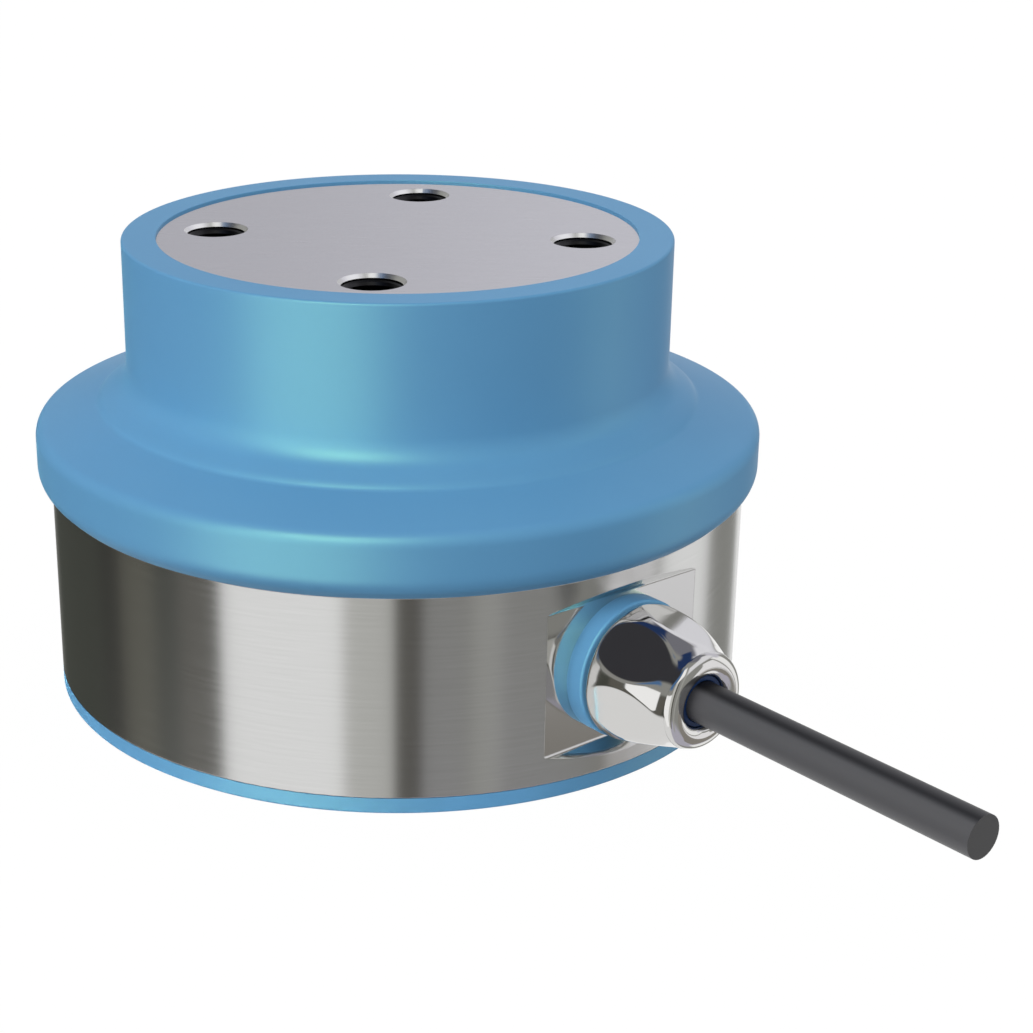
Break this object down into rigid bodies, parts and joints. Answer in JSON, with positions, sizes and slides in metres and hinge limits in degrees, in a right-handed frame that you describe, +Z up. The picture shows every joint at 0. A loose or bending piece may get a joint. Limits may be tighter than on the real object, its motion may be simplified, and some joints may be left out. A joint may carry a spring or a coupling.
{
  "type": "strain gauge load cell",
  "caption": "Round stainless load cell with a tapped load plate in a blue silicone boot, a sealed bending beam inside and a side cable gland.",
  "frame": {"origin": "centre of the underside, on the load axis", "axes": "+Z up along the load axis through the load plate; -Y towards the picture's viewer; the cable leaves between +X and -Y"},
  "size_m": [0.1077, 0.1246, 0.0587],
  "materials": {
    "turned_stainless": "fine turned and brushed",
    "polished_stainless": "polished",
    "screw_steel": "machined",
    "blue_silicone": "matt moulded silicone",
    "dark_blue_silicone": "matt moulded silicone",
    "grey_cable_jacket": "satin extruded jacket",
    "core_insulation": "extruded insulation",
    "circuit_board": "solder mask",
    "brass_spacer": "turned",
    "terminal_plastic": "moulded",
    "chip_epoxy": "moulded epoxy",
    "gauge_foil": "polyimide film with metal foil"
  },
  "bodies": {
    "root": {"housing": "turned_stainless", "load_plate": "turned_stainless", "cover_ring": "turned_stainless", "beam": "turned_stainless", "load_carrier": "turned_stainless", "stop_screw": "screw_steel", "cover_screws": "screw_steel", "beam_screws": "screw_steel", "carrier_screws": "screw_steel", "plate_screws": "screw_steel", "board_screws": "screw_steel", "terminal_screws": "screw_steel", "boot": "blue_silicone", "foot_gasket": "blue_silicone", "gland_gasket": "blue_silicone", "gland_seal": "dark_blue_silicone", "cap_seal": "dark_blue_silicone", "beam_screw_seals": "dark_blue_silicone", "gland_body": "polished_stainless", "gland_cap": "polished_stainless", "cable": "grey_cable_jacket", "cable_cores": "core_insulation", "gauge_leads": "core_insulation", "circuit_board": "circuit_board", "board_spacers": "brass_spacer", "terminal_block": "terminal_plastic", "amplifier_chip": "chip_epoxy", "converter_chip": "chip_epoxy", "trim_resistors": "chip_epoxy", "strain_gauge_top_fixed_end": "gauge_foil", "strain_gauge_bottom_fixed_end": "gauge_foil", "strain_gauge_top_free_end": "gauge_foil", "strain_gauge_bottom_free_end": "gauge_foil"}
  },
  "joints": []
}
